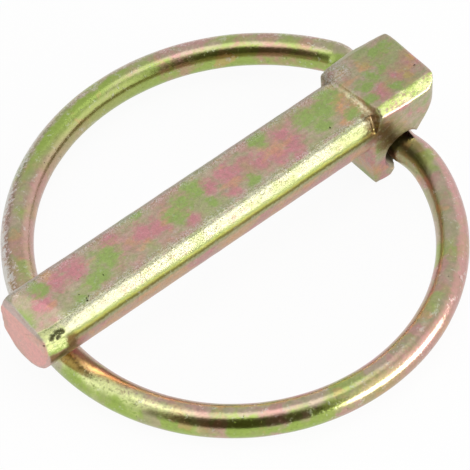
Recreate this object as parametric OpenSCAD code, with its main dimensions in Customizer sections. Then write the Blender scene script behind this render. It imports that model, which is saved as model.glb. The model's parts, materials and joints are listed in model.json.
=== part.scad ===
// Lynch pin: a forged D-section pin with a spring ring that swings through its head.
// The pin lies along X with its head at +X, and the part rests on Z = 0.

/* [Shank] */
// Diameter of the round side of the shank
shank_d = 9.5; // [8:0.1:12]
// Depth of the flat that runs along the top of the shank
flat_depth = 1.25; // [0.6:0.05:1.3]
// How far the tip stands out past the middle of the closed ring's wire
tip_overhang = 5.1; // [4:0.1:7]
// Length over which the tip narrows
taper_len = 8.5; // [7:0.5:12]
// Diameter of the tip at its end
tip_d = 9.1; // [7:0.1:9.2]
// Length of the facet that breaks the edge of the tip
facet_len = 4.5; // [3:0.5:5]
// How far the facet cuts in at the end face
facet_depth = 1.1; // [0.6:0.1:1.5]

/* [Head] */
// Length from the cross hole back to the shoulder
shoulder_reach = 4.4; // [4.2:0.1:6]
// Length from the cross hole to the end of the head
head_reach = 5.3; // [4.8:0.1:7]
// Width of the head at its shoulder
shoulder_w = 10; // [9.6:0.1:12]
// Width of the head at its end
end_w = 8.6; // [8:0.1:10]
// How far the head's top stands above the flat
head_step = 0.5; // [0.2:0.1:1.2]
// Height of the head's end face
end_h = 5.2; // [4:0.1:7]
// Size of the bevels along the head's top edges
top_bevel = 0.7; // [0.3:0.1:1.2]
// Radius of the head's upright end corners
corner_r = 1.6; // [0.8:0.1:2.5]
// Length of the ramp between the flat and the head's top
ramp_len = 0.9; // [0.4:0.1:1.5]

/* [Lug] */
// Play between the wire and the cross hole, across
bore_play = 1.2; // [0.9:0.1:1.6]
// Depth of the cross hole's axis below the shank's axis
bore_drop = 5.3; // [5.2:0.1:6.5]
// Least metal left between the cross hole and the bottom of the lug
lug_wall = 1.1; // [0.8:0.1:2]
// Width of the flat bottom of the lug
lug_bottom_w = 3; // [2:0.1:5]
// Length from the cross hole back to the lug's front face
lug_front = 5.2; // [5:0.1:6.5]
// Wall left behind the cross hole by the slanted cuts on the lug's rear corners
rear_wall = 0.8; // [0.6:0.1:1.5]

/* [Ring] */
// Diameter of the spring wire
wire_d = 4; // [3:0.1:4.4]
// Centre-line radius of the ring's near half
near_r = 25.2; // [25:0.1:26]
// Centre-line radius of the ring's far half
far_r = 28.2; // [27:0.1:29]
// Centre-line radius of the bends beside the two ends
bend_r = 6; // [5:0.5:10]
// Turn of the near half, measured from the cross hole
near_turn = 163; // [155:1:170]
// How far the near half's centre lies to the side of the pin
ring_shift = 5.4; // [4.5:0.1:6.5]
// How far the two ends lie inside the ring's round
end_inset = 0.7; // [0.4:0.1:1.5]
// How far the wire lies off the middle of the cross hole, towards the head's end
wire_seat = 0.4; // [0:0.1:0.5]
// Angle at which the ring sits askew on the pin
ring_skew = 6.3; // [0:0.1:7]
// Play between the closed ring and the underside of the shank
tip_play = 0.25; // [0.2:0.05:0.6]
// Gap between the two ends of the wire inside the cross hole
end_gap = 2; // [1:0.5:4]

/* [Hidden] */
$fn = 96;
steel = "#b3a878";
wire_steel = "#a9a35f";
eps = 0.01;
wire_sides = 40;
arc_sides = 72;
joint_trim = 0.1;
collar_rise = 0.02;

shank_r = shank_d / 2;
wire_r = wire_d / 2;
bore_r = wire_r + bore_play / 2;
head_w = max(shoulder_w, shank_d + 0.5);
flat_z = shank_r - flat_depth;
head_top_z = flat_z + head_step;
axis_height = max(bore_drop + bore_r + lug_wall, 2 * wire_r + tip_play + shank_r);
lug_bottom_z = -axis_height;
bore_height = axis_height - bore_drop;
// The head's front face stays upright out to this radius, where it meets the drilled part
collar_r = shank_r + 1;

// The ring's plane runs from the cross hole down to where its wire lies on the ground
near_x = end_inset - near_r;
near_start = acos((-near_x - bend_r) / (near_r - bend_r));
near_bend_y = -ring_shift - (near_r - bend_r) * sin(near_start);
mid_x = near_x + near_r * cos(near_turn);
mid_y = -ring_shift - near_r * sin(near_turn);
far_x = mid_x - far_r * cos(near_turn);
far_y = mid_y + far_r * sin(near_turn);
ring_reach = far_r - far_x;
tip_reach = ring_reach + tip_overhang - wire_seat;
ring_pitch = asin((bore_height - wire_r) / ring_reach);
far_start = acos((-far_x - bend_r) / (far_r - bend_r));
far_bend_y = far_y + (far_r - bend_r) * sin(far_start);

// Corner points with each corner replaced by an arc of its own radius
function unit(v) = v / norm(v);
function arc_points(p, c, q, r, n = 10) =
    r <= 0 ? [c] :
    let (
        u = unit(p - c),
        v = unit(q - c),
        half = acos(u * v) / 2,
        m = c + unit(u + v) * r / sin(half),
        a = c + u * r / tan(half),
        b = c + v * r / tan(half),
        start = atan2(a.y - m.y, a.x - m.x),
        turn = atan2(b.y - m.y, b.x - m.x) - start,
        sweep = turn > 180 ? turn - 360 : turn < -180 ? turn + 360 : turn
    )
    [for (i = [0:n]) m + r * [cos(start + sweep * i / n), sin(start + sweep * i / n)]];
function rounded(pts, radii) =
    let (k = len(pts))
    [for (i = [0:k - 1]) each arc_points(pts[(i + k - 1) % k], pts[i], pts[(i + 1) % k], radii[i])];

// Extrudes an X-Z outline to both sides of the pin's middle plane
module side_extrude(width) {
    rotate([90, 0, 0])
        linear_extrude(width, center = true)
            children();
}

// Round bar with its narrowed tip, before the flat is cut
module shank_bar() {
    rotate([0, -90, 0])
        rotate_extrude()
            polygon([
                [0, 0],
                [shank_r, 0],
                [shank_r, tip_reach - taper_len],
                [tip_d / 2, tip_reach],
                [0, tip_reach],
            ]);
}

// Plane facet across the tip's edge, turned about the pin's axis
module tip_facet(turn) {
    rotate([turn, 0, 0])
        translate([-tip_reach, 0, -tip_d / 2 + facet_depth])
            rotate([0, atan(facet_depth / facet_len), 0])
                translate([-facet_len, -shank_d, -shank_d])
                    cube([3 * facet_len, 2 * shank_d, shank_d]);
}

module shank() {
    difference() {
        shank_bar();
        translate([-tip_reach - eps, -shank_d, flat_z])
            cube([tip_reach + 2 * eps, 2 * shank_d, shank_d]);
        for (turn = [-90, 90])
            tip_facet(turn);
    }
}

// Side outline of the whole head: step, top, end face and lug
module head_side() {
    polygon(rounded(
        [
            [-shoulder_reach, flat_z - eps],
            [-shoulder_reach + ramp_len, head_top_z],
            [head_reach, head_top_z],
            [head_reach, head_top_z - end_h],
            [bore_r + 1.6, -bore_drop + 1.2],
            [bore_r - 0.4, lug_bottom_z],
            [-lug_front, lug_bottom_z],
            [-lug_front, -collar_r - 0.8],
            [-shoulder_reach, -collar_r],
        ],
        [0, 0.3, 1.0, 2.0, 1.6, 1.2, 0.7, 0.3, 0.3]
    ));
}

// Plan outline of the head: rounded shoulders, and it narrows towards its end
module head_plan() {
    polygon(rounded(
        [
            [-lug_front, head_w / 2 - 0.2],
            [0, head_w / 2],
            [head_reach, end_w / 2],
            [head_reach, -end_w / 2],
            [0, -head_w / 2],
            [-lug_front, -head_w / 2 + 0.2],
        ],
        [0.8, 6, corner_r, corner_r, 6, 0.8]
    ));
}

// End outline of the head: bevelled top, upright sides and a lug with a shallow keel
module head_end() {
    side = head_w / 2;
    keel_z = lug_bottom_z + 0.7;
    polygon(rounded(
        [
            [-side + top_bevel, head_top_z],
            [side - top_bevel, head_top_z],
            [side, head_top_z - top_bevel],
            [side, keel_z + 1.3],
            [side - 0.6, keel_z],
            [lug_bottom_w / 2, lug_bottom_z],
            [-lug_bottom_w / 2, lug_bottom_z],
            [-side + 0.6, keel_z],
            [-side, keel_z + 1.3],
            [-side, head_top_z - top_bevel],
        ],
        [0.5, 0.5, 0.5, 0.6, 0.7, 0.8, 0.8, 0.7, 0.6, 0.5]
    ));
}

// Slanted cut that takes the lug's lower rear corner off one side
module rear_cut(side) {
    up = 30;
    across = 40;
    reach = (bore_r + rear_wall) * sqrt(1 - pow(cos(up) * sin(across), 2));
    translate([0, 0, -bore_drop])
        rotate([0, 0, side * across])
            rotate([0, up, 0])
                translate([reach, -2 * shank_d, -2 * shank_d])
                    cube([2 * shank_d, 4 * shank_d, 4 * shank_d]);
}

module head() {
    tall = 4 * shank_d;
    difference() {
        intersection() {
            side_extrude(2 * head_w)
                head_side();
            translate([0, 0, -tall / 2])
                linear_extrude(tall)
                    head_plan();
            rotate([90, 0, 90])
                linear_extrude(tall, center = true)
                    head_end();
        }
        rear_cut(1);
        rear_cut(-1);
    }
}

// The pin in its own frame: shank axis on X, cross hole at X = 0
module pin() {
    color(steel)
        to_row_frame()
            translate([0, 0, axis_height])
                difference() {
                    union() {
                        shank();
                        head();
                    }
                    translate([0, 0, -bore_drop])
                        rotate([90, 0, -ring_skew])
                            cylinder(r = bore_r, h = 3 * head_w, center = true);
                }
}

// Wire along an arc in the XY plane, from angle a0 through a turn, a hair short at both ends
module wire_arc(r, a0, turn) {
    trim = joint_trim / r * 180 / PI;
    rotate([0, 0, a0 + trim])
        rotate_extrude(angle = turn - 2 * trim, $fn = arc_sides)
            translate([r, 0])
                circle(wire_r, $fn = wire_sides);
}

// Straight wire along Y between two heights
module wire_straight(y0, y1) {
    translate([0, y0, 0])
        rotate([-90, 0, 0])
            cylinder(r = wire_r, h = y1 - y0, $fn = wire_sides);
}

// Short collar round the wire that joins one length of it to the next, a hair proud of it
module joint_collar(x, y, heading) {
    translate([x, y, 0])
        rotate([90, 0, heading])
            cylinder(r = wire_r + collar_rise, h = 6 * joint_trim, center = true, $fn = wire_sides);
}

// The ring flat in XY, with both ends on the Y axis
module flat_ring() {
    // near half, the bend beside it and the near end
    translate([near_x, -ring_shift, 0])
        wire_arc(near_r, -near_turn, near_turn - near_start);
    joint_collar(-bend_r * (1 - cos(near_start)), near_bend_y - bend_r * sin(near_start), -near_start);
    translate([-bend_r, near_bend_y, 0])
        wire_arc(bend_r, -near_start, near_start);
    joint_collar(0, near_bend_y, 0);
    wire_straight(near_bend_y + joint_trim, -end_gap / 2);
    // far half, the bend beside it and the far end
    joint_collar(mid_x, mid_y, -near_turn);
    translate([far_x, far_y, 0])
        wire_arc(far_r, far_start, 360 - near_turn - far_start);
    joint_collar(-bend_r * (1 - cos(far_start)), far_bend_y + bend_r * sin(far_start), far_start);
    translate([-bend_r, far_bend_y, 0])
        wire_arc(bend_r, 0, far_start);
    joint_collar(0, far_bend_y, 0);
    wire_straight(end_gap / 2, far_bend_y - joint_trim);
}

module ring() {
    color(wire_steel)
        to_row_frame()
            translate([wire_seat, 0, bore_height])
                rotate([0, 0, -ring_skew])
                    rotate([0, -ring_pitch, 0])
                        flat_ring();
}

// Moves the cross hole from X = 0 so that the whole part is centred on the origin
function turned(x, y) = -x * sin(ring_skew) + y * cos(ring_skew);
centre_x = (head_reach - tip_reach) / 2;
y_low = turned(near_x, -ring_shift) - near_r - wire_r;
y_high = turned(far_x, far_y) + far_r + wire_r;
centre_y = (y_low + y_high) / 2;
module to_row_frame() {
    translate([-centre_x, -centre_y, 0])
        children();
}

pin();
ring();
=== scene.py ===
"""Lynch pin: a forged D-section pin and the spring ring that swings through its head.

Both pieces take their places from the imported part, and each is modelled by one operator.
The "Lynch Pin" panel in the 3D view's sidebar lists the operators, sizes and colours.
"""

import json
import math

import bpy
from mathutils import Matrix, Vector


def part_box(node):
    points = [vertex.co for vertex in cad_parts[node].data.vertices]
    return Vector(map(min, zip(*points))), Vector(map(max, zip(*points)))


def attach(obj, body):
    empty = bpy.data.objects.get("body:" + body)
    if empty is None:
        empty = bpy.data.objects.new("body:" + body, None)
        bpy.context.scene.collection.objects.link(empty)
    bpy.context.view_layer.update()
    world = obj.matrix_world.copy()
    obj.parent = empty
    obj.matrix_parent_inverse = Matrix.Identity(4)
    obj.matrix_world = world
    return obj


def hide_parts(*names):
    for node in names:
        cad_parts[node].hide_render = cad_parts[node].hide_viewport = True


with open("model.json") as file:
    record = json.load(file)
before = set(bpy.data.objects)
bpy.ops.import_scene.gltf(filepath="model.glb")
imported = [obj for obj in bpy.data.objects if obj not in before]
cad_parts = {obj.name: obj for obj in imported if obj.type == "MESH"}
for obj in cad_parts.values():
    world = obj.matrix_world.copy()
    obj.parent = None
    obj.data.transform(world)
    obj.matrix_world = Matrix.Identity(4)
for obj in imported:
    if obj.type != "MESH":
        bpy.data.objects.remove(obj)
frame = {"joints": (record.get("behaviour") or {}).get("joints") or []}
PIN_LOW, PIN_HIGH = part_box("pin")
HINGE = next(j for j in frame["joints"] if j["name"] == "ring_swing")

bl_info = {
    "name": "Lynch Pin",
    "version": (1, 0, 0),
    "blender": (4, 5, 0),
    "location": "3D View > Sidebar > Lynch Pin",
    "description": "Models a forged lynch pin with its spring ring and a small stage",
    "category": "Object",
}

MM = 0.001
# points closer than this are one point
TOUCHING = 1e-7
# a piece with fewer faces than this has failed
FEWEST_FACES = 1000
PIN_NAME = "forged_pin"
RING_NAME = "wire_ring"
HINGE_AXIS = Vector(HINGE["axis"])
HINGE_SKEW = math.atan2(-HINGE_AXIS.x, -HINGE_AXIS.y)


# ---------------------------------------------------------------- sizes and colours

def length(label, text, millimetres):
    """A length property of the panel, given in millimetres and kept in metres."""
    return bpy.props.FloatProperty(
        name=label, description=text, default=millimetres * MM, min=0.0,
        unit="LENGTH", subtype="DISTANCE", precision=5,
    )


def colour(label, text, value):
    """A colour property of the panel."""
    return bpy.props.FloatVectorProperty(
        name=label, description=text, default=value, min=0.0, max=1.0,
        size=3, subtype="COLOR",
    )


class PinSizes(bpy.types.PropertyGroup):
    """Sizes of the forged pin"""

    shank_diameter: length("Shank", "Diameter of the round side of the shank", 9.5)
    flat_height: length("Flat height", "Height of the flat above the shank's axis", 3.28)
    flat_roll: bpy.props.FloatProperty(
        name="Flat roll", description="How far the flat is rolled to the near side",
        default=math.radians(5.5), subtype="ANGLE",
    )
    head_reach: length("Head reach", "From the cross hole to the head's end", 5.3)
    head_top: length("Head top", "Height of the head's top above the shank's axis", 4.0)
    head_width: length("Head width", "Width of the head across the hole", 10.2)
    lug_front: length("Lug front", "From the cross hole to the lug's front", 5.2)
    hole_diameter: length("Hole", "Diameter of the cross hole", 5.2)
    hole_drop: length("Hole drop", "Depth of the cross hole below the shank's axis", 5.3)
    grain: length("Mesh size", "Size of the faces that the forging is made of", 0.17)


class RingSizes(bpy.types.PropertyGroup):
    """Sizes of the spring ring"""

    wire: length("Wire", "Diameter of the spring wire", 4.0)
    near_radius: length("Near half", "Radius of the ring's near half", 25.2)
    far_radius: length("Far half", "Radius of the ring's far half", 28.2)
    near_bow: length("Near bow", "Radius of the bow into the near end", 10.0)
    far_bow: length("Far bow", "Radius of the bow into the far end", 2.6)
    ease: length("Ease", "Radius of the turn from each bow into its straight end", 3.0)
    side_shift: length("Shift", "Near half's centre, to the side of the pin", 5.4)
    end_inset: length("Inset", "How far the ends lie inside the ring's round", 0.7)
    end_gap: length("End gap", "Gap between the ends in the cross hole", 2.0)
    near_turn: bpy.props.FloatProperty(
        name="Near turn", description="Turn of the near half from the cross hole",
        default=math.radians(163), subtype="ANGLE",
    )


class ZincColours(bpy.types.PropertyGroup):
    """Tints of the yellow zinc plate and its wear, and of the highlights and shade painted on it"""

    tan: colour("Tan", "Ground colour of the zinc plate", (0.52, 0.42, 0.31))
    green: colour("Green", "Green tint of the plate", (0.33, 0.44, 0.14))
    pink: colour("Pink", "Pink tint of the plate", (0.60, 0.27, 0.29))
    orange: colour("Orange", "Orange tint of the plate", (0.66, 0.38, 0.20))
    grey: colour("Grey", "Grey of worn and rubbed places", (0.55, 0.55, 0.50))
    leaf: colour("Leaf", "Full green of the wire and of the tip's facet", (0.36, 0.48, 0.11))
    moss: colour("Moss", "Grey-green between the patches", (0.38, 0.39, 0.21))
    # painted highlight: this yellow-green colours the head's near bevel and the bright band along
    # the shank's near side
    lime_highlight: colour("Lime", "Yellow-green of the head's near bevel", (0.62, 0.72, 0.26))
    # painted highlight: the brightest yellow-green colours the tip's facet, the head's near bevel
    # and the wire by the tip
    pale_lime_highlight: colour("Pale lime", "Brightest yellow-green", (0.90, 0.96, 0.45))
    scuff: colour("Scuff", "Pale grey of the scuffed wire", (0.74, 0.74, 0.70))
    # painted highlight: this yellow colours the bright band along the shank's near side
    gold_highlight: colour("Gold", "Yellow of the brightest places", (0.46, 0.48, 0.10))
    # painted highlight: the palest yellow colours the shank's near side and the bottom of the step
    painted_sheen: colour("Pale", "Pale sheen along the near side", (0.95, 0.94, 0.64))
    # painted shade: this dark green colours the line under the painted highlight on the near side,
    # and also dark flecks
    olive_shade_and_fleck: colour("Olive", "Olive line under the sheen", (0.19, 0.18, 0.035))
    # painted shade: this brown colours the head's corners; it also colours the band round the tip's
    # facet
    brown: colour("Brown", "Brown grime in corners", (0.20, 0.12, 0.045))
    blush: colour("Blush", "Pale pink of the end face", (0.86, 0.44, 0.40))
    # also the painted shade inside the cross hole
    dark: colour("Dark", "Dark marks in pits and blotches", (0.035, 0.03, 0.01))


# ---------------------------------------------------------------- mesh helpers

def activate(obj):
    """Selects only this object and makes it active, in object mode."""
    if bpy.context.object and bpy.context.object.mode != "OBJECT":
        bpy.ops.object.mode_set(mode="OBJECT")
    bpy.ops.object.select_all(action="DESELECT")
    obj.select_set(True)
    bpy.context.view_layer.objects.active = obj


def begin_edit(obj, kind="FACE"):
    """Opens edit mode on one object, picking faces or edges."""
    activate(obj)
    bpy.ops.object.mode_set(mode="EDIT")
    bpy.ops.mesh.select_mode(type=kind)


def end_edit():
    """Goes back to object mode."""
    bpy.ops.object.mode_set(mode="OBJECT")


def name_new(name):
    """Names the object that a primitive operator has just added, and applies its place."""
    obj = bpy.context.object
    obj.name = name
    obj.data.name = name
    bpy.ops.object.transform_apply(location=True, rotation=True, scale=True)
    return obj


def cut(point, normal):
    """In edit mode, cuts the whole mesh by a plane, takes off what is in front and closes it."""
    bpy.ops.mesh.select_all(action="SELECT")
    bpy.ops.mesh.bisect(
        plane_co=point, plane_no=Vector(normal).normalized(),
        use_fill=True, clear_outer=True, threshold=TOUCHING,
    )


def cut_all(at, cuts, side=1):
    """In edit mode, makes flat cuts given from the pin's origin; side -1 mirrors them."""
    mirror = Vector((1, side, 1))
    for point, normal in cuts:
        cut(at + Vector(point) * mirror * MM, Vector(normal) * mirror)


def modify(obj, kind, **settings):
    """Adds a modifier with these settings and applies it."""
    activate(obj)
    modifier = obj.modifiers.new(kind.title(), kind)
    for key, value in settings.items():
        setattr(modifier, key, value)
    bpy.ops.object.modifier_apply(modifier=modifier.name)


def combine(obj, other, how):
    """Joins another object into obj, or takes it away, and removes the other."""
    modify(obj, "BOOLEAN", object=other, operation=how, solver="EXACT")
    bpy.data.objects.remove(other)


def clean_up(obj):
    """Merges doubles and turns every face outward."""
    begin_edit(obj)
    bpy.ops.mesh.select_all(action="SELECT")
    bpy.ops.mesh.remove_doubles(threshold=TOUCHING)
    bpy.ops.mesh.normals_make_consistent(inside=False)
    end_edit()


def cloud(name, size):
    """A cloud texture for the small unevenness of a forged or drawn surface."""
    texture = bpy.data.textures.new(name, "CLOUDS")
    texture.noise_scale = size
    texture.noise_depth = 2
    return texture


# ---------------------------------------------------------------- the pin

# facets round the tip: turn about the axis from straight up to the near side, depth, length
TIP_FACETS = (
    (math.radians(12.6), 2.26 * MM, 9.2 * MM),
    (math.radians(74), 0.65 * MM, 4.0 * MM),
    (math.radians(-70), 0.45 * MM, 2.5 * MM),
    (math.radians(-98), 0.60 * MM, 4.0 * MM),
    (math.radians(-135), 0.25 * MM, 3.0 * MM),
)
# the worn slope at the tip's far corner: a point from the end's middle, and the way it faces
TIP_CORNER = Vector((1.0, 3.3, 3.5)) * MM
TIP_CORNER_FACE = Vector((-0.59, 0.12, 0.80))
# how far the shank's bar runs into the head, past the cross hole
SHANK_ROOT = 1.5 * MM

# the head's flat cuts: a point from the pin's origin in millimetres, and the way the cut faces
HEAD_SIDES = (
    # near side by the shoulder, and behind it
    ((-5.2, -4.85, 0), (-0.25, -5.2, 0)),
    ((0, -5.1, 0), (0, -5.2, 0)),
    # far shoulder, and the far side behind it
    ((-5.2, 5.05, 0), (-1.0, 2.8, 0)),
    ((-2.4, 6.05, 0), (1.25, 7.15, 0)),
)
HEAD_FACES = (
    # the end, from its upright face down to the narrow bottom of the lug
    ((5.3, 0, -1.2), (2.9, 0, -1.1)),
    ((5.0, 0, -2.1), (4.0, 0, -2.4)),
    ((4.2, 0, -4.1), (4.9, 0, -2.0)),
    # the front, a little askew, with its ramp up from the flat
    ((-4.50, 0, 3.4), (-12.5, -1.46, 3.6)),
    # top bevels: broad along the near side, small along the far side and the end
    ((0, -3.75, 4.0), (0.0, -0.95, 1.2)),
    ((0, 4.45, 4.0), (0.02, 0.8, 1.0)),
    ((4.75, 0, 4.0), (0.8, 0, 1.0)),
    # the worn top of the far shoulder, and the lug's leaning front
    ((-3.3, 4.3, 4.0), (-0.22, 0.34, 1.0)),
    ((-5.2, 0, -5.0), (-3.0, 0, -0.55)),
)
# the same on both sides: the keel under the lug, and the lug's sides leaning in at its front
KEEL_CUTS = (
    ((0, 5.0, -8.1), (0, 1.3, -0.5)),
    ((0, 4.75, -8.8), (0, 0.5, -2.4)),
)
LUG_SIDE_CUTS = (
    ((-4.5, 4.95, 1.2), (-3.66, 25.6, -1.08)),
)
# slanted cuts at the lug's rear corners: their turn, their lean and how far they clear the hole
REAR_TURN = math.radians(40)
REAR_LEAN = math.radians(30)
REAR_CLEAR = 2.82 * MM
# the far side's shallow hollow is part of a big upright round
HOLLOW_RADIUS = 25.8 * MM
HOLLOW_MIDDLE = Vector((5.75, 30.8, 0)) * MM
# an edge counts as upright when this much of its direction is
UPRIGHT = 0.9
# roundings of the head's upright edges, seen in plan, and then of all its sharp edges
NEAR_END_ROUNDING = 2.4 * MM
FAR_END_ROUNDING = 1.1 * MM
SHOULDER_ROUNDING = 0.9 * MM
HEAD_ROUNDING = 0.4 * MM
# the end's upright edges lie further along than this, and the far shoulder's edge lies here
END_EDGES = 4 * MM
SHOULDER_EDGE = -2.4 * MM
# the cross hole is bored twice, the second time a little higher, which makes its mouths oval
HOLE_LIFTS = (0.0, 0.5 * MM)
# the small groove where the shank's near edge meets the head
GROOVE_MIDDLE = Vector((-4.75, -4.15, 2.15)) * MM
GROOVE_RADIUS = 0.3 * MM
GROOVE_LENGTH = 2.6 * MM
GROOVE_LEAN = math.radians(-26)


def pin_origin(s):
    """Where the shank's axis crosses the plane of the cross hole."""
    return Vector((
        PIN_HIGH.x - s.head_reach,
        (PIN_LOW.y + PIN_HIGH.y) / 2,
        PIN_HIGH.z - s.head_top,
    ))


def make_shank(s, at):
    """The round bar with its slightly rolled flat and the worn facets round its tip."""
    radius = s.shank_diameter / 2
    end = Vector((PIN_LOW.x, at.y, at.z))
    root_x = at.x + SHANK_ROOT
    bpy.ops.mesh.primitive_cylinder_add(
        vertices=128, radius=radius, depth=root_x - end.x,
        location=((end.x + root_x) / 2, at.y, at.z), rotation=(0, math.pi / 2, 0),
    )
    shank = name_new("shank")
    begin_edit(shank)
    across = Vector((0, -math.sin(s.flat_roll), math.cos(s.flat_roll)))
    cut(at + across * s.flat_height, across)
    for turn, depth, long in TIP_FACETS:
        slope = math.atan(depth / long)
        outward = Vector((0, -math.sin(turn), math.cos(turn)))
        start = end + outward * (radius - depth)
        cut(start, outward * math.cos(slope) + Vector((-math.sin(slope), 0, 0)))
    cut(end + TIP_CORNER, TIP_CORNER_FACE)
    end_edit()
    return shank


def round_uprights(obj, at, choose, width, segments):
    """Rounds the upright edges for which choose(middle from the pin's origin) is true."""
    begin_edit(obj, "EDGE")
    bpy.ops.mesh.select_all(action="DESELECT")
    end_edit()
    count = 0
    for edge in obj.data.edges:
        a, b = (obj.data.vertices[i].co for i in edge.vertices)
        if abs((b - a).normalized().z) > UPRIGHT and choose((a + b) / 2 - at):
            edge.select = True
            count += 1
    if not count:
        raise RuntimeError("no edge to round")
    begin_edit(obj, "EDGE")
    bpy.ops.mesh.bevel(offset=width, segments=segments, affect="EDGES")
    end_edit()


def make_head(s, at):
    """The block head with its step, tapered end and the lug that carries the ring."""
    reach = s.lug_front + s.head_reach
    size = Vector((reach, s.head_width + 2 * MM, PIN_HIGH.z))
    middle = Vector((at.x + (s.head_reach - s.lug_front) / 2, at.y, PIN_HIGH.z / 2))
    bpy.ops.mesh.primitive_cube_add(size=1, location=middle, scale=size)
    head = name_new("head")
    begin_edit(head)
    cut_all(at, HEAD_SIDES)
    end_edit()
    round_uprights(head, at, lambda m: m.x > END_EDGES and m.y < 0, NEAR_END_ROUNDING, 8)
    round_uprights(head, at, lambda m: m.x > END_EDGES and m.y > 0, FAR_END_ROUNDING, 6)
    round_uprights(head, at, lambda m: abs(m.x - SHOULDER_EDGE) < 1 * MM and m.y > 0,
                   SHOULDER_ROUNDING, 4)
    bpy.ops.mesh.primitive_cylinder_add(
        vertices=256, radius=HOLLOW_RADIUS, depth=4 * size.z, location=at + HOLLOW_MIDDLE)
    combine(head, name_new("hollow"), "DIFFERENCE")
    begin_edit(head)
    cut_all(at, HEAD_FACES)
    for side in (-1, 1):
        cut_all(at, KEEL_CUTS, side)
        turn = Matrix.Rotation(side * REAR_TURN, 3, "Z") @ Matrix.Rotation(REAR_LEAN, 3, "Y")
        rear = turn @ Vector((1, 0, 0))
        cut(at + Vector((0, 0, -s.hole_drop)) + rear * REAR_CLEAR, rear)
        cut_all(at, LUG_SIDE_CUTS, side)
    end_edit()
    modify(head, "BEVEL", width=HEAD_ROUNDING, segments=3, limit_method="ANGLE",
           angle_limit=math.radians(24), harden_normals=False)
    return head


def make_hole(s, at, lift):
    """A cutter for the cross hole, lifted a little from the ring's axis."""
    bpy.ops.mesh.primitive_cylinder_add(
        vertices=96, radius=s.hole_diameter / 2, depth=2 * s.head_width,
        location=at + Vector((0, 0, lift - s.hole_drop)),
        rotation=(math.pi / 2, 0, -HINGE_SKEW),
    )
    return name_new("hole")


def make_groove(at):
    """A cutter for the small groove beside the head."""
    bpy.ops.mesh.primitive_cylinder_add(
        vertices=32, radius=GROOVE_RADIUS, depth=GROOVE_LENGTH,
        location=at + GROOVE_MIDDLE, rotation=(GROOVE_LEAN, 0, 0),
    )
    return name_new("groove")


class MakePin(bpy.types.Operator):
    """Model the forged pin with its head, flat, facets and cross hole"""

    bl_idname = "lynch_pin.make_pin"
    bl_label = "Make pin"

    def execute(self, context):
        s = context.scene.lynch_pin_sizes
        at = pin_origin(s)
        pin = make_shank(s, at)
        combine(pin, make_head(s, at), "UNION")
        combine(pin, make_groove(at), "DIFFERENCE")
        for lift in HOLE_LIFTS:
            combine(pin, make_hole(s, at, lift), "DIFFERENCE")
        modify(pin, "REMESH", mode="VOXEL", voxel_size=s.grain, adaptivity=0.0)
        modify(pin, "SMOOTH", factor=0.5, iterations=4)
        modify(pin, "DISPLACE", texture=cloud("forging", 2.6 * MM), strength=0.07 * MM,
               mid_level=1.0, texture_coords="LOCAL")
        pin.name = PIN_NAME
        pin.data.name = PIN_NAME
        clean_up(pin)
        bpy.ops.object.shade_smooth()
        if len(pin.data.polygons) < FEWEST_FACES:
            self.report({"ERROR"}, "the pin came out empty")
            return {"CANCELLED"}
        pin.data.materials.clear()
        tints = context.scene.lynch_pin_colours
        pin.data.materials.append(pin_material(tints, at, s.hole_drop))
        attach(pin, "pin")
        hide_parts("pin")
        return {"FINISHED"}


# ---------------------------------------------------------------- the ring

# where each end leaves the round, and how far it tilts on its way back to the hole
NEAR_JOIN = math.radians(9)
NEAR_TILT = math.radians(16)
FAR_JOIN = math.radians(35.8)
FAR_TILT = math.radians(25)


def spin_end(steps, centre, turn):
    """In edit mode, carries the selected loop round a centre, anticlockwise from above."""
    bpy.ops.mesh.spin(steps=steps, angle=-turn, center=(*centre, 0), axis=(0, 0, 1), dupli=False)


def run_end(steps, shift):
    """In edit mode, carries the selected loop straight on."""
    for _ in range(steps):
        bpy.ops.mesh.extrude_region_move(
            TRANSFORM_OT_translate={"value": (shift.x / steps, shift.y / steps, 0)})


def straight_between(x, bow, ease, join, tilt):
    """Length of the straight between a bow that leaves the round at x and the ease."""
    sideways = x + bow * (math.cos(tilt) - math.cos(join)) - ease * (1 - math.cos(tilt))
    return sideways / math.sin(tilt)


def ring_centres(s):
    """Centres of the near and the far half, with the ring flat and the cross hole at 0, 0."""
    near = Vector((s.end_inset - s.near_radius, -s.side_shift))
    turn = Vector((math.cos(s.near_turn), -math.sin(s.near_turn)))
    return near, near + turn * (s.near_radius - s.far_radius)


def carry_near_half(s, centre):
    """In edit mode, from the cross hole through a wide bow and round the near half."""
    a, t = NEAR_JOIN, NEAR_TILT
    outward = Vector((math.cos(a), -math.sin(a)))
    join = centre + outward * s.near_radius
    run = straight_between(join.x, s.near_bow, s.ease, a, t)
    ease_y = (join.y + s.near_bow * (math.sin(a) + math.sin(t))
              + run * math.cos(t) + s.ease * math.sin(t))
    run_end(5, Vector((0, ease_y + s.end_gap / 2)))
    spin_end(4, (s.ease, ease_y), t)
    run_end(2, Vector((math.sin(t), -math.cos(t))) * run)
    spin_end(12, join - outward * s.near_bow, -(t + a))
    spin_end(100, centre, -(s.near_turn - a))


def carry_far_half(s, centre):
    """In edit mode, round the far half and through a tight bow back to the cross hole."""
    a, t = FAR_JOIN, FAR_TILT
    outward = Vector((math.cos(a), math.sin(a)))
    join = centre + outward * s.far_radius
    run = straight_between(join.x, s.far_bow, s.ease, a, t)
    ease_y = (join.y - s.far_bow * (math.sin(a) + math.sin(t))
              - run * math.cos(t) - s.ease * math.sin(t))
    spin_end(118, centre, -(2 * math.pi - s.near_turn - a))
    spin_end(12, join - outward * s.far_bow, -(a + t))
    run_end(4, Vector((-math.sin(t), -math.cos(t))) * run)
    spin_end(6, (-s.ease, ease_y), t)
    run_end(5, Vector((0, s.end_gap / 2 - ease_y)))


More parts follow.
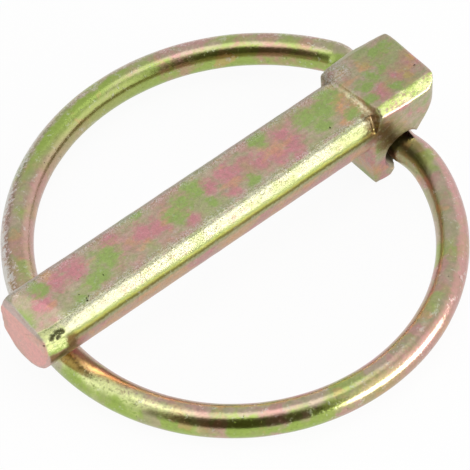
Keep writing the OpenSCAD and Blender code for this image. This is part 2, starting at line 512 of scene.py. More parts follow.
def ring_place(s, far):
    """Where the flat ring goes: on the hinge, askew, and sloping down to the ground."""
    hinge = Vector(HINGE["pos_m"])
    slope = math.asin((hinge.z - s.wire / 2) / (s.far_radius - far.x))
    return (Matrix.Translation(hinge) @ Matrix.Rotation(-HINGE_SKEW, 4, "Z")
            @ Matrix.Rotation(-slope, 4, "Y"))


class MakeRing(bpy.types.Operator):
    """Model the spring ring by carrying the wire's round along its bends"""

    bl_idname = "lynch_pin.make_ring"
    bl_label = "Make ring"

    def execute(self, context):
        s = context.scene.lynch_ring_sizes
        near, far = ring_centres(s)
        bpy.ops.mesh.primitive_circle_add(
            vertices=56, radius=s.wire / 2, fill_type="NOTHING",
            location=(0, -s.end_gap / 2, 0), rotation=(math.pi / 2, 0, 0),
        )
        ring = name_new(RING_NAME)
        begin_edit(ring, "EDGE")
        bpy.ops.mesh.select_all(action="SELECT")
        carry_near_half(s, near)
        carry_far_half(s, far)
        bpy.ops.mesh.select_non_manifold()
        bpy.ops.mesh.fill_holes(sides=0)
        end_edit()
        place = ring_place(s, far)
        ring.matrix_world = place
        activate(ring)
        bpy.ops.object.transform_apply(location=True, rotation=True, scale=True)
        modify(ring, "DISPLACE", texture=cloud("drawing", 3.5 * MM), strength=0.05 * MM,
               mid_level=1.0, texture_coords="LOCAL")
        clean_up(ring)
        bpy.ops.object.shade_smooth_by_angle(angle=math.radians(40))
        if len(ring.data.polygons) < FEWEST_FACES:
            self.report({"ERROR"}, "the ring came out empty")
            return {"CANCELLED"}
        ring.data.materials.clear()
        circles = ((*near, s.near_radius), (*far, s.far_radius))
        ring.data.materials.append(
            ring_material(context.scene.lynch_pin_colours, place, circles))
        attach(ring, "ring")
        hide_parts("ring")
        return {"FINISHED"}


# ---------------------------------------------------------------- materials

class Value:
    """A shader node's output; those that are numbers can be used in plain arithmetic."""

    def __init__(self, graph, socket):
        self.graph = graph
        self.socket = socket

    def _math(self, operation, first, second):
        return self.graph.value("ShaderNodeMath", {"operation": operation}, {0: first, 1: second})

    def __add__(self, other):
        return self._math("ADD", self, other)

    def __radd__(self, other):
        return self._math("ADD", other, self)

    def __sub__(self, other):
        return self._math("SUBTRACT", self, other)

    def __rsub__(self, other):
        return self._math("SUBTRACT", other, self)

    def __mul__(self, other):
        return self._math("MULTIPLY", self, other)

    def __rmul__(self, other):
        return self._math("MULTIPLY", other, self)

    def root(self):
        """The square root."""
        return self._math("SQRT", self, 0.0)

    def angle(self, other):
        """The angle whose tangent is this over the other."""
        return self._math("ARCTAN2", self, other)

    def most(self, other):
        """The larger of the two."""
        return self._math("MAXIMUM", self, other)

    def step(self, low, high):
        """0 below low, 1 above high, and a smooth rise between; low may be above high."""
        return self.graph.value(
            "ShaderNodeMapRange", {"interpolation_type": "SMOOTHSTEP", "clamp": True},
            {"Value": self, "From Min": low, "From Max": high, "To Min": 0.0, "To Max": 1.0},
            "Result",
        )


class Graph:
    """Adds nodes to a material or world, with their settings and links, in one call each."""

    def __init__(self, tree):
        self.tree = tree
        tree.nodes.clear()

    def node(self, kind, settings=None, inputs=None):
        """A node of any type, with its settings and the values or links of its sockets."""
        node = self.tree.nodes.new(kind)
        for key, value in (settings or {}).items():
            setattr(node, key, value)
        for key, value in (inputs or {}).items():
            socket = node.inputs[key]
            if isinstance(value, Value):
                self.tree.links.new(value.socket, socket)
            elif isinstance(value, bpy.types.NodeSocket):
                self.tree.links.new(value, socket)
            elif isinstance(value, (tuple, list, Vector)) and socket.type == "RGBA":
                socket.default_value = (*value[:3], 1.0)
            else:
                socket.default_value = value
        return node

    def value(self, kind, settings, inputs, output=0):
        """One output of a new node, ready for arithmetic."""
        return Value(self, self.node(kind, settings, inputs).outputs[output])

    def blend(self, factor, first, second):
        """One colour over another by a factor."""
        node = self.node("ShaderNodeMix", {"data_type": "RGBA"})
        for index, value in ((0, factor), (6, first), (7, second)):
            socket = node.inputs[index]
            if isinstance(value, Value):
                self.tree.links.new(value.socket, socket)
            elif isinstance(value, (int, float)):
                socket.default_value = value
            else:
                socket.default_value = (*value[:3], 1.0)
        return Value(self, node.outputs[2])

    def place(self):
        """The point in the row frame, in millimetres."""
        spot = self.node("ShaderNodeTexCoord")
        return self.scaled(spot.outputs["Object"], 1 / MM)

    def scaled(self, vector, factor):
        """A vector or colour times a number."""
        return self.value("ShaderNodeVectorMath", {"operation": "SCALE"},
                          {0: vector, "Scale": factor})

    def moved(self, place, offset):
        """A place moved by an offset."""
        return self.value("ShaderNodeVectorMath", {"operation": "ADD"}, {0: place, 1: offset})

    def stretched(self, place, factors):
        """A place scaled by its own factor in each direction."""
        return self.value("ShaderNodeVectorMath", {"operation": "MULTIPLY"}, {0: place, 1: factors})

    def along(self, place, direction):
        """How far a place lies along a direction."""
        return self.value("ShaderNodeVectorMath", {"operation": "DOT_PRODUCT"},
                          {0: place, 1: direction}, "Value")

    def split(self, place):
        """The three coordinates of a place."""
        node = self.node("ShaderNodeSeparateXYZ", None, {0: place})
        return [Value(self, node.outputs[i]) for i in range(3)]

    def noise(self, place, scale, detail, rough=0.5):
        """Cloudy noise from 0 to 1, with so many clouds to the millimetre."""
        return self.value(
            "ShaderNodeTexNoise", {"noise_dimensions": "3D"},
            {"Vector": place, "Scale": scale, "Detail": detail, "Roughness": rough}, "Fac")

    def near(self, place, centre, radius, soft):
        """1 round a centre, fading out at a radius."""
        distance = self.value("ShaderNodeVectorMath", {"operation": "DISTANCE"},
                              {0: place, 1: centre}, "Value")
        return distance.step(radius, radius * (1 - soft))


def new_material(name):
    """A new material and the graph that fills it."""
    material = bpy.data.materials.new(name)
    material.use_nodes = True
    return material, Graph(material.node_tree)


def finish_metal(g, tone, rough, height, depth):
    """The plated metal itself, with its bump."""
    bump = g.node("ShaderNodeBump", None, {"Strength": 1.0, "Distance": depth, "Height": height})
    metal = g.node("ShaderNodeBsdfPrincipled", None,
                   {"Base Color": tone, "Metallic": 1.0, "Roughness": rough,
                    "Normal": bump.outputs["Normal"]})
    g.node("ShaderNodeOutputMaterial", None, {"Surface": metal.outputs["BSDF"]})


# patches of the plate's tints on the pin, in millimetres: x from the cross hole, y and z from
# the shank's axis, and the radius
GREEN_PATCHES = (
    (-6.8, 1.6, 3.4, 1.5), (-8.6, 0.6, 3.3, 1.6), (-10.6, 0.9, 3.3, 1.6), (-5.9, -1.9, 3.1, 1.0),
    (-9.9, -1.2, 3.2, 1.2), (-17.4, 2.2, 3.5, 1.2), (-21.5, -1.9, 3.1, 0.9),
    (-28.1, 1.4, 3.4, 1.2), (-30.2, 0.7, 3.3, 1.4), (-31.7, -0.2, 3.3, 1.3),
    (-27.3, -1.4, 3.1, 0.9), (-35.6, 2.8, 3.5, 0.8), (-41.5, 0.2, 3.3, 1.6),
    (-43.7, -1.0, 3.2, 1.3), (-45.3, -1.4, 3.1, 1.1), (-50.6, 1.7, 3.4, 1.1),
    (-54.3, -0.4, 2.8, 1.0), (-47.6, -2.4, 3.0, 0.9), (3.2, 2.6, 4.0, 1.1), (1.6, 2.9, 4.0, 0.9),
    (0.8, 0.7, 4.0, 0.9), (-1.0, 0.3, 4.0, 0.9), (-2.6, -0.4, 4.0, 0.9), (0.2, -2.8, 4.0, 0.9),
    (-3.4, -2.2, 4.0, 0.9), (-4.0, -4.6, -2.0, 1.3), (-5.0, 0.5, -5.0, 1.5),
)
PINK_PATCHES = (
    (-14.6, 0.9, 3.4, 1.4), (-14.4, -0.9, 3.2, 1.4), (-17.0, -1.1, 3.2, 1.4),
    (-18.9, -0.6, 3.2, 1.4), (-20.9, 0.0, 3.3, 1.5), (-23.4, 0.7, 3.3, 1.5),
    (-26.2, 0.6, 3.3, 1.1), (-24.3, -1.7, 3.1, 1.0), (-30.6, -1.7, 3.1, 1.1),
    (-34.4, -0.3, 3.3, 1.4), (-36.4, 0.2, 3.3, 1.5), (-40.2, 2.0, 3.5, 1.1),
    (-45.8, 1.7, 3.4, 1.6), (-48.3, 1.3, 3.4, 1.5), (-51.4, -0.2, 3.1, 1.3),
    (4.6, 0.2, 4.0, 1.2), (4.6, -1.2, 4.0, 1.0), (1.7, -1.7, 4.0, 1.6), (-1.2, -2.3, 4.0, 1.3),
    (-2.3, -2.6, 4.0, 1.0), (3.0, -1.1, 4.0, 1.2), (-4.6, 3.8, 3.6, 0.8), (-14.7, -2.7, 3.0, 0.9),
)
ORANGE_PATCHES = (
    (-5.4, 0.6, 3.3, 0.9), (-6.4, 0.1, 3.3, 0.8), (-7.4, -2.5, 3.0, 0.7), (-5.8, 2.9, 3.5, 0.6),
    (-48.8, 2.9, 3.5, 0.7), (-5.0, -1.4, 3.1, 0.9), (-0.8, 2.1, 4.0, 0.8), (4.5, -0.6, 4.0, 0.6),
    (2.4, -2.4, 4.0, 0.5), (-4.9, -3.2, 2.6, 1.0), (-5.0, -1.5, -6.4, 1.2),
    (-4.9, -4.4, -6.5, 1.0),
)
# brown painted shade in the head's corners and recesses, and black marks, in the same way
PAINTED_SHADE_PATCHES = (
    (-4.9, -4.3, 1.4, 1.3), (-3.9, -5.0, 0.2, 1.5), (-3.2, -5.0, -1.9, 1.4), (-4.9, -3.6, 0.0, 1.4),
    (-2.0, -5.1, -2.6, 0.9), (-4.7, -3.7, 2.9, 0.8), (-5.0, 3.9, 3.2, 0.9),
)
BLACK_MARKS = (
    (-52.65, -3.75, 2.5, 0.62), (-53.7, -3.6, 2.6, 0.5), (-51.95, -3.95, 2.15, 0.5),
    (-53.4, -4.05, 2.0, 0.62), (-52.6, -4.2, 1.7, 0.46), (-54.5, -3.6, 2.1, 0.4),
    (-54.6, -3.9, 1.4, 0.34), (-52.3, -3.9, 2.2, 0.6), (-53.05, -3.85, 2.3, 0.6),
    (-43.65, -1.3, 3.1, 0.13), (-47.15, -2.6, 3.0, 0.15), (-47.5, -1.7, 3.1, 0.14),
    (-46.75, -2.5, 3.0, 0.1), (-48.65, -3.0, 2.9, 0.1), (-47.3, -2.9, 3.0, 0.16),
    (-46.1, 0.0, 3.2, 0.1), (-51.05, 2.5, 3.4, 0.1), (-52.9, -2.7, 3.0, 0.24),
    (-52.6, -2.95, 3.0, 0.18), (-9.5, -1.85, 3.0, 0.2), (4.0, -1.7, 4.0, 0.15),
)


def patch_mask(g, place, at, table, soft, spread):
    """1 inside the patches of a table, each fading out at spread times its radius."""
    total = None
    for x, y, z, radius in table:
        centre = at / MM + Vector((x, y, z))
        one = g.near(place, centre, radius * spread, soft)
        total = one if total is None else total.most(one)
    return total


def ragged_patches(p, table, cloudy):
    """Patches that fade unevenly outwards, thin in some places and full in others."""
    soft = patch_mask(p.g, p.ragged, p.at, table, 1.0, 2.2)
    return (soft + (cloudy - 0.5) * 1.7).step(0.15, 1.0)


def warp(g, place, scale, strength):
    """The place pushed about by noise, so that patches get ragged outlines."""
    push = g.value("ShaderNodeTexNoise", None,
                   {"Vector": place, "Scale": scale, "Detail": 3.0, "Roughness": 0.6}, "Color")
    push = g.scaled(g.moved(push, (-0.5, -0.5, -0.5)), strength)
    return g.moved(place, push)


class PinSurface:
    """The places, in millimetres, and the noises that the pin's finishes share."""

    def __init__(self, g, at):
        self.g = g
        self.at = at
        self.place = g.place()
        self.x, self.y, self.z = g.split(g.moved(self.place, -at / MM))
        self.ragged = warp(g, warp(g, self.place, 0.6, 1.4), 1.8, 1.2)
        self.drawn = g.stretched(self.place, (0.45, 1.0, 1.0))
        self.fine = g.noise(self.place, 2.4, 4.0, 0.65)
        self.grain = g.noise(self.place, 7.0, 3.0, 0.7)
        self.wide = g.noise(self.place, 0.17, 3.0, 0.6)
        self.other = g.noise(g.moved(self.place, (31.0, 7.0, 3.0)), 0.22, 3.0, 0.6)
        self.clouds = [g.noise(g.moved(self.drawn, (shift, 0.0, shift)), 1.3, 5.0, 0.72)
                       for shift in (0.0, 20.0, 40.0)]
        self.sheen = g.noise(g.stretched(self.place, (0.8, 1.6, 1.6)), 2.8, 5.0, 0.85)
        self.flecks = g.noise(g.stretched(self.place, (1.0, 1.8, 1.8)), 5.2, 3.0, 0.8)
        # the turn round the shank's axis, from straight up to the near side and on down
        uneven = (self.fine - 0.5) * 0.12 + (self.wide - 0.5) * 0.10
        self.turn = (0.0 - self.y).angle(self.z) + uneven
        self.shank = self.x.step(-4.5, -4.9)
        self.shoulder = self.x.step(-1.5, -2.8) * self.x.step(-6.0, -5.0) * self.y.step(1.6, 3.2)
        # where shade is painted in the head's corners and recesses
        self.painted_shade = patch_mask(g, self.ragged, at, PAINTED_SHADE_PATCHES, 0.7, 1.6)


def plate_tints(p, tints):
    """The plate's ground, with its green, pink and orange patches."""
    g = p.g
    top = p.z.step(2.85, 3.0)
    green = ragged_patches(p, GREEN_PATCHES, p.clouds[0])
    green = green.most(p.wide.step(0.50, 0.64) * (0.75 - top * 0.3))
    pink = ragged_patches(p, PINK_PATCHES, p.clouds[1])
    pink = pink.most(p.other.step(0.48, 0.62) * (0.8 - top * 0.3))
    orange = ragged_patches(p, ORANGE_PATCHES, p.clouds[2])
    orange = orange.most(g.noise(p.drawn, 0.7, 3.0).step(0.56, 0.72) * 0.6)
    strength = p.grain * 0.5 + p.fine * 0.8 + 0.35
    tone = g.blend(p.clouds[0].step(0.40, 0.62) * 0.8, tints.tan, tints.moss)
    tone = g.blend(pink * strength, tone, tints.pink)
    tone = g.blend(orange * strength * 0.9, tone, tints.orange)
    return g.blend(green * strength, tone, tints.green)


def near_side(p, tints, tone):
    """The shank's round side, by its turn round the axis: a painted highlight above, a painted
    shade line under it, and the plate's pink below.
    """
    g = p.g
    # the painted highlight's own colours: palest yellow broken by pink, yellow-green and yellow
    painted_sheen = g.blend(p.clouds[1].step(0.54, 0.62) * 0.4, tints.painted_sheen, tints.blush)
    painted_sheen = g.blend(p.wide.step(0.52, 0.42) * 0.7, painted_sheen, tints.lime_highlight)
    painted_sheen = g.blend(p.sheen.step(0.43, 0.36) * 0.85, painted_sheen, tints.gold_highlight)
    lower = g.blend(p.other.step(0.42, 0.58), tints.pink, tints.orange)
    lower = g.blend(p.clouds[0].step(0.40, 0.60) * 0.6, lower, tints.tan)
    # painted highlight and shade in bands by the turn round the axis: two bright bands, a dark
    # painted shade line, then grey-green into the pink below
    side = g.blend(p.turn.step(1.14, 1.26), painted_sheen, tints.lime_highlight)
    side = g.blend(p.turn.step(1.24, 1.33), side, tints.gold_highlight)
    side = g.blend(p.turn.step(1.32, 1.38), side, tints.olive_shade_and_fleck)
    side = g.blend(p.turn.step(1.41, 1.47), side, tints.moss)
    side = g.blend(p.turn.step(1.46, 1.60) * 0.9, side, lower)
    round_side = p.turn.step(0.80, 0.86) * p.turn.step(3.0, 2.8) * p.shank
    return g.blend(round_side * 0.92, tone, side)


def edge_flecks(p, tints, tone):
    """Dark and white flecks along the flat's two edges, and dark ones on the sheen."""
    g = p.g
    near_edge = p.turn.step(0.62, 0.80) * p.turn.step(1.02, 0.86) * p.shank * p.x.step(-51.8, -51.0)
    far_edge = p.y.step(1.9, 2.9) * p.z.step(2.6, 3.0) * p.shank
    fringe = near_edge.most(far_edge)
    upper = p.turn.step(0.74, 0.84) * p.turn.step(1.20, 1.02) * p.shank
    tone = g.blend(fringe * p.flecks.step(0.52, 0.60) * 0.75, tone, tints.scuff)
    tone = g.blend(fringe * p.flecks.step(0.44, 0.38) * 0.65, tone, tints.olive_shade_and_fleck)
    return g.blend(upper * p.flecks.step(0.45, 0.40) * 0.85, tone, tints.olive_shade_and_fleck)


def tip_facet(p, tints, tone):
    """The tip's green-yellow facet, with a painted highlight growing towards its top, and a brown
    band behind it and below it.
    """
    g = p.g
    facet = p.x.step(-51.2, -51.7) * p.turn.step(0.90, 1.0) * p.turn.step(1.66, 1.58)
    # painted highlight on the facet, stronger towards its top
    facet_highlight = (p.sheen + (1.40 - p.turn) * 0.6).step(0.40, 0.56)
    tone = g.blend(facet * 0.95, tone, g.blend(facet_highlight, tints.leaf, tints.pale_lime_highlight))
    wave = p.x + (p.fine - 0.5) * 1.6
    behind = wave.step(-51.9, -51.5) * wave.step(-50.2, -50.7) * p.turn.step(1.2, 1.35)
    below = p.turn.step(1.58, 1.66) * p.turn.step(1.95, 1.80) * wave.step(-51.2, -51.7)
    band = behind.most(below) * p.turn.step(2.5, 2.1)
    return g.blend(band * 0.9, tone, tints.brown)


def head_finish(p, tints, tone):
    """The head: painted shade in its corners, a painted highlight in yellow-green on the near
    bevel, and a painted highlight at the bottom of the step.
    """
    g = p.g
    # painted shade, brown, in the head's corners and recesses
    tone = g.blend(p.painted_shade * p.fine.step(0.28, 0.48) * 0.95, tone, tints.brown)
    bevel = p.y.step(-3.55, -3.85) * p.z.step(3.0, 3.3) * p.x.step(-4.4, -3.4)
    # painted highlight on the near bevel, in yellow-greens
    painted_shine = g.blend(p.clouds[2].step(0.48, 0.62), tints.lime_highlight, tints.pale_lime_highlight)
    painted_shine = g.blend(p.clouds[0].step(0.46, 0.60) * 0.8, painted_shine, tints.leaf)
    tone = g.blend(bevel * (p.sheen + p.fine).step(0.82, 1.02) * 0.95, tone, painted_shine)
    # painted highlight at the bottom of the step
    step_highlight = p.x.step(-5.2, -4.9) * p.x.step(-4.1, -4.4) * p.z.step(2.8, 3.05) * p.z.step(4.0, 3.8)
    step_highlight = step_highlight * p.y.step(-3.9, -3.2) * p.y.step(2.0, -0.5)
    return g.blend(step_highlight * p.fine.step(0.35, 0.6) * 0.6, tone, tints.painted_sheen)


def end_face(p, tints, tone):
    """The tip's end face, paler and pink."""
    blush = p.g.blend(p.wide.step(0.35, 0.60) * 0.45 + 0.55, tints.tan, tints.blush)
    return p.g.blend(p.x.step(-54.1, -54.4) * 0.9, tone, blush)


def rubbed_places(p):
    """Most on the tip's rim, the shoulder's top and the far edge, with small scuffs all over."""
    upper_rim = p.x.step(-54.0, -54.25) * p.z.step(1.6, 2.0)
    rim = p.x.step(-54.0, -54.3) * (p.y * p.y + p.z * p.z).step(17.5, 19.0) * 0.6
    edge = p.y.step(2.7, 3.1) * p.shank * p.z.step(2.6, 3.0)
    worn = p.g.noise(p.place, 1.3, 4.0, 0.7).step(0.56, 0.70) * 0.45
    worn = worn.most(upper_rim.most(rim) * 0.9)
    worn = worn.most(p.shoulder * p.fine.step(0.45, 0.60) * 0.75)
    return worn.most(edge * p.fine.step(0.40, 0.55) * 0.6)


def black_marks(p):
    """1 in the pits and the tip's blotch, and less in the specks, most of them by the painted shade
    in the head's corners.
    """
    g = p.g
    ragged = warp(g, warp(g, p.place, 2.2, 0.5), 7.0, 0.22)
    pits = patch_mask(g, ragged, p.at, BLACK_MARKS, 0.5, 1.0) * p.grain.step(0.31, 0.42)
    specks = g.noise(g.moved(p.place, (3.0, 9.0, 1.0)), 3.4, 3.0, 0.6).step(0.70, 0.75) * 0.6
    return pits.most(specks * p.painted_shade.most(p.shoulder).most(0.25))


def pin_material(tints, at, hole_drop):
    """Yellow zinc plate on a forging: patches of green and pink, pits and rubbed edges, with
    highlights and shade painted on.
    """
    material, g = new_material("yellow_zinc_forging")
    p = PinSurface(g, at)
    worn = rubbed_places(p)
    pits = black_marks(p)
    below = p.z + hole_drop / MM
    # painted shade inside the cross hole, by its near mouth
    painted_bore_shade = (p.x * p.x + below * below).step(8.6, 7.6) * p.y.step(-5.4, -5.0)
    tone = near_side(p, tints, plate_tints(p, tints))
    tone = edge_flecks(p, tints, tone)
    tone = tip_facet(p, tints, tone)
    tone = head_finish(p, tints, tone)
    tone = end_face(p, tints, tone)
    tone = g.blend(worn * 0.7, tone, tints.grey)
    tone = g.blend(p.shoulder * p.flecks.step(0.52, 0.60) * 0.7, tone, tints.scuff)
    tone = g.blend(p.shoulder * p.flecks.step(0.46, 0.38) * 0.8, tone, tints.olive_shade_and_fleck)
    # dark marks in the pits, and the painted shade in the cross hole
    tone = g.blend(pits.most(painted_bore_shade) * 0.93, tone, tints.dark)
    mottle = p.fine * 0.60 + p.grain * 0.50 + 0.38
    rough = p.fine * 0.14 + 0.30 + worn * 0.12
    sheen_band = p.turn.step(0.84, 0.90) * p.turn.step(1.30, 1.18) * p.shank
    height = (p.fine * 0.6 + p.grain * 0.45 - pits * 1.6 + p.shoulder * p.grain * 1.6
              + sheen_band * (p.sheen * 2.6 + p.flecks * 1.6))
    finish_metal(g, g.scaled(tone, mottle), rough, height, depth=0.040 * MM)
    return material


# ways round the ring, level with the ground
FRONT = Vector((-0.633, -0.774, 0))
LEFT = Vector((-0.774, 0.633, 0))
FAR_LEFT = Vector((-0.2, 0.98, 0))
BY_TIP = Vector((-0.98, -0.2, 0))


def out_from_wire(g, place, lay, circles):
    """How far out from the wire's middle: -1 on the ring's inner side, 1 on its outer side."""
    back = lay.inverted()
    across, level = (g.along(place, back[row][:3]) + back[row][3] / MM for row in range(2))
    outs = []
    for centre_x, centre_y, radius in circles:
        dx = across - centre_x / MM
        dy = level - centre_y / MM
        outs.append(((dx * dx + dy * dy).root() - radius / MM) * 0.5)
    near_half = (level - across * 0.26).step(0.6, -0.6)
    return outs[0] * near_half + outs[1] * (1.0 - near_half)


def wire_tints(g, place, out, fine, tints):
    """Green, pink and orange along the wire, by the side of the ring and of the wire, and a painted
    highlight along the wire by the tip.
    """
    front = g.along(place, FRONT).step(4.0, 22.0)
    behind = g.along(place, -FRONT).step(4.0, 22.0)
    left = g.along(place, LEFT).step(8.0, 22.0)
    right = g.along(place, -LEFT).step(8.0, 22.0)
    far_left = g.along(place, FAR_LEFT).step(23.0, 26.0)
    by_tip = g.along(place, BY_TIP).step(22.0, 27.0)
    drawn = warp(g, place, 0.8, 1.6)
    wide = g.noise(drawn, 0.16, 3.0, 0.6)
    other = g.noise(g.moved(drawn, (13.0, 5.0, 8.0)), 0.18, 3.0, 0.6)
    third = g.noise(g.moved(drawn, (-9.0, 21.0, 2.0)), 0.3, 2.0)
    inner = out.step(-0.15, -0.6)
    outer = out.step(0.15, 0.6)
    patchy = other.step(0.60, 0.44) * 0.7 + 0.3
    green = (front * outer * patchy).most(behind * inner * 0.9).most(behind * left * inner)
    green = green.most(far_left * out.step(0.5, 0.1)).most(wide.step(0.48, 0.62) * 0.7)
    pink = (front * out.step(-0.45, -0.85)).most(right * outer * 0.8).most(left * outer * 0.7)
    pink = pink.most(left * inner * 0.6).most(other.step(0.50, 0.62) * 0.7)
    pink = pink * (1.0 - far_left * 0.9) * (1.0 - by_tip * outer)
    tone = g.blend(third.step(0.44, 0.62) * 0.7, tints.tan, tints.moss)
    tone = g.blend(green, tone, tints.leaf)
    tone = g.blend(pink * (fine * 0.8 + 0.4), tone, tints.pink)
    tone = g.blend(third.step(0.60, 0.70) * 0.5, tone, tints.orange)
    # painted highlight along the middle of the wire by the tip
    painted_shine = by_tip * out.step(-0.3, 0.1) * out.step(0.9, 0.5)
    return g.blend(painted_shine * fine.step(0.3, 0.5) * 0.85, tone, tints.pale_lime_highlight)


def wire_scuffs(g, place, out, fine):
    """Scuffs round the outer left of the ring and on its far side, and small ones all over."""
    side = g.along(place, LEFT).step(18.0, 25.0)
    behind = g.along(place, -FRONT).step(4.0, 22.0)
    scuff = side * (out + (fine - 0.5) * 1.6).step(0.35, 0.9)
    scuff = scuff.most(behind * out.step(0.15, 0.6) * fine.step(0.48, 0.62) * 0.6)
    return (g.noise(place, 1.0, 4.0, 0.75).step(0.57, 0.68) * 0.4).most(scuff)


def ring_material(tints, lay, circles):
    """Yellow zinc plate on drawn wire: the tints run along it, and its outer left is scuffed."""
    material, g = new_material("yellow_zinc_wire")
    place = g.place()
    fine = g.noise(place, 2.2, 4.0, 0.65)
    grain = g.noise(place, 7.0, 3.0, 0.7)
    out = out_from_wire(g, place, lay, circles)
    out = out + (fine - 0.5) * 0.5 + (g.noise(place, 0.35, 3.0) - 0.5) * 1.1
    worn = wire_scuffs(g, place, out, fine)
    specks = g.noise(g.moved(place, (3.0, 9.0, 1.0)), 2.6, 3.0, 0.6).step(0.69, 0.73)
    tone = wire_tints(g, place, out, fine, tints)
    tone = g.blend(worn * 0.85, tone, tints.scuff)
    tone = g.blend(specks * 0.85, tone, tints.dark)
    mottle = fine * 0.50 + grain * 0.32 + 0.56
    rough = fine * 0.12 + 0.15 + worn * 0.22
    height = fine * 0.6 + worn * 0.8 + grain * 0.4 - specks * 1.2
    finish_metal(g, g.scaled(tone, mottle), rough, height, depth=0.022 * MM)
    return material


# ---------------------------------------------------------------- stage

# how much of the floor's own white the camera and the metal see, in place of its shading
FLOOR_SEEN = 0.94
FLOOR_MIRRORED = 0.75

# soft lamps: name, towards, distance, width, height in metres, and power in watts
LAMPS = (
    ("front_strip", (0.42, -0.88, 0.14), 0.5, 0.42, 0.16, 2.5),
    ("top_strip", (-0.03, 0.0, 1.0), 0.6, 0.30, 0.5, 0.5),
)

# the studio's sky for light and reflections, and its softly edged places: towards, cosine where
# the place ends and where it is full, and what it adds to the level
SKY_LEVEL = 0.78
SKY_PLACES = (
    ((0.42, -0.76, 0.45), 0.80, 0.97, 0.6),
    ((0.98, 0.0, 0.15), 0.75, 0.98, 0.3),
    ((-0.80, 0.36, 0.44), 0.85, 0.97, 0.3),
    ((-0.2, 0.98, 0.0), 0.80, 0.97, -0.25),
)
# the dark, warm place on the camera's side, how dark it is and its tint
DARK_PLACE = ((-0.537, -0.657, 0.53), 0.76, 0.84)
DARK_SHARE = 0.88
DARK_TINT = (1.0, 0.80, 0.42)
WHITE = (1, 1, 1)

CAMERA_AZIMUTH = math.radians(-39.26)
CAMERA_ELEVATION = math.radians(51.03)
CAMERA_ROLL = math.radians(-1.622)
CAMERA_TARGET = Vector((-0.24, -1.50, 5.0)) * MM
CAMERA_DISTANCE = 470.5 * MM
CAMERA_LENS = 306.4


def floor_material():
    """Pale floor: white where the camera and the metal see it, with a light shadow."""
    material, g = new_material("pale_floor")
    path = g.node("ShaderNodeLightPath")
    seen = Value(g, path.outputs["Is Camera Ray"])
    glossy = Value(g, path.outputs["Is Glossy Ray"])
    matt = g.node("ShaderNodeBsdfDiffuse", None, {"Color": (0.9, 0.9, 0.9)})
    white = g.node("ShaderNodeEmission", None, {"Color": WHITE, "Strength": 1.0})
    mixed = g.node("ShaderNodeMixShader", None,
                   {0: seen * FLOOR_SEEN + glossy * FLOOR_MIRRORED,
                    1: matt.outputs[0], 2: white.outputs[0]})
    g.node("ShaderNodeOutputMaterial", None, {"Surface": mixed.outputs[0]})
    return material


def add_lamp(name, toward, distance, width, height, power):
    """A soft area lamp in a direction from the middle of the part."""
    data = bpy.data.lights.new(name, "AREA")
    data.shape = "RECTANGLE"
    data.size = width
    data.size_y = height
    data.energy = power
    lamp = bpy.data.objects.new(name, data)
    bpy.context.scene.collection.objects.link(lamp)
    direction = Vector(toward).normalized()
    lamp.location = direction * distance
    lamp.rotation_euler = direction.to_track_quat("Z", "Y").to_euler()


def studio_light(g):
    """White to the camera; an even studio to everything else, darker on the camera's side."""
    seen = Value(g, g.node("ShaderNodeLightPath").outputs["Is Camera Ray"])
    way = g.node("ShaderNodeTexCoord").outputs["Generated"]

    def toward(direction, low, high):
        return g.along(way, Vector(direction).normalized()).step(low, high)

    level = SKY_LEVEL
    for direction, low, high, more in SKY_PLACES:
        level = level + toward(direction, low, high) * more
    dark = toward(*DARK_PLACE)
    level = level * (1.0 - dark * DARK_SHARE)
    strength = seen + (1.0 - seen) * level
    tint = g.blend((1.0 - seen) * dark, WHITE, DARK_TINT)
    sky = g.node("ShaderNodeBackground", None, {"Color": tint, "Strength": strength})
    g.node("ShaderNodeOutputWorld", None, {"Surface": sky.outputs[0]})


def add_camera(scene):
    """The scene's camera, from its way round, height, roll and distance to the part."""
    data = bpy.data.cameras.new("camera")
    data.sensor_width = 36
    data.lens = CAMERA_LENS
    data.clip_start = 10 * MM
    data.clip_end = 10
    camera = bpy.data.objects.new("camera", data)
    scene.collection.objects.link(camera)
    a, e = CAMERA_AZIMUTH, CAMERA_ELEVATION
    back = Vector((math.sin(a) * math.cos(e), -math.cos(a) * math.cos(e), math.sin(e)))
    level = Vector((0, 0, 1)).cross(back).normalized()
    upright = back.cross(level)
    right = level * math.cos(CAMERA_ROLL) + upright * math.sin(CAMERA_ROLL)
    up = upright * math.cos(CAMERA_ROLL) - level * math.sin(CAMERA_ROLL)
    turn = Matrix((right, up, back)).transposed().to_4x4()
    camera.matrix_world = Matrix.Translation(CAMERA_TARGET + back * CAMERA_DISTANCE) @ turn
    scene.camera = camera


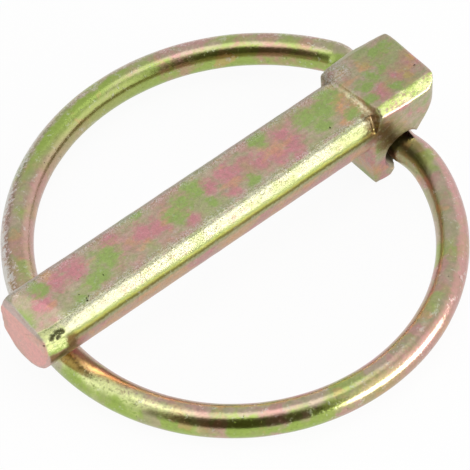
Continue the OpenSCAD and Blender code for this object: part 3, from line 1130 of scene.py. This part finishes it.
class MakeStage(bpy.types.Operator):
    """Add the pale floor, the soft lamps, the world and the camera"""

    bl_idname = "lynch_pin.make_stage"
    bl_label = "Make stage"

    def execute(self, context):
        scene = context.scene
        bpy.ops.object.select_all(action="DESELECT")
        bpy.ops.mesh.primitive_plane_add(size=3.0, location=(0, 0, 0))
        floor = name_new("floor")
        floor.data.materials.append(floor_material())
        world = bpy.data.worlds.new("studio")
        world.use_nodes = True
        scene.world = world
        studio_light(Graph(world.node_tree))
        for lamp in LAMPS:
            add_lamp(*lamp)
        add_camera(scene)
        scene.view_settings.view_transform = "Standard"
        return {"FINISHED"}


# ---------------------------------------------------------------- panel

class LynchPinPanel(bpy.types.Panel):
    """Lists the pieces and their sizes"""

    bl_idname = "VIEW3D_PT_lynch_pin"
    bl_label = "Lynch Pin"
    bl_space_type = "VIEW_3D"
    bl_region_type = "UI"
    bl_category = "Lynch Pin"

    def draw(self, context):
        layout = self.layout
        for operator in (MakePin, MakeRing, MakeStage):
            layout.operator(operator.bl_idname)
        for group in (context.scene.lynch_pin_sizes, context.scene.lynch_ring_sizes,
                      context.scene.lynch_pin_colours):
            box = layout.box()
            for key in group.__annotations__:
                box.prop(group, key)


CLASSES = (PinSizes, RingSizes, ZincColours, MakePin, MakeRing, MakeStage, LynchPinPanel)


def register():
    """Registers the classes and gives the scene its sizes and colours."""
    for c in CLASSES:
        bpy.utils.register_class(c)
    bpy.types.Scene.lynch_pin_sizes = bpy.props.PointerProperty(type=PinSizes)
    bpy.types.Scene.lynch_ring_sizes = bpy.props.PointerProperty(type=RingSizes)
    bpy.types.Scene.lynch_pin_colours = bpy.props.PointerProperty(type=ZincColours)


def unregister():
    """Takes off what register has added."""
    del bpy.types.Scene.lynch_pin_colours
    del bpy.types.Scene.lynch_ring_sizes
    del bpy.types.Scene.lynch_pin_sizes
    for c in reversed(CLASSES):
        bpy.utils.unregister_class(c)


def main():
    """Makes both pieces and the stage."""
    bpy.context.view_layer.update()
    register()
    for step in (bpy.ops.lynch_pin.make_pin, bpy.ops.lynch_pin.make_ring,
                 bpy.ops.lynch_pin.make_stage):
        if step() != {"FINISHED"}:
            raise RuntimeError("a piece could not be made")


if __name__ == "__main__":
    main()
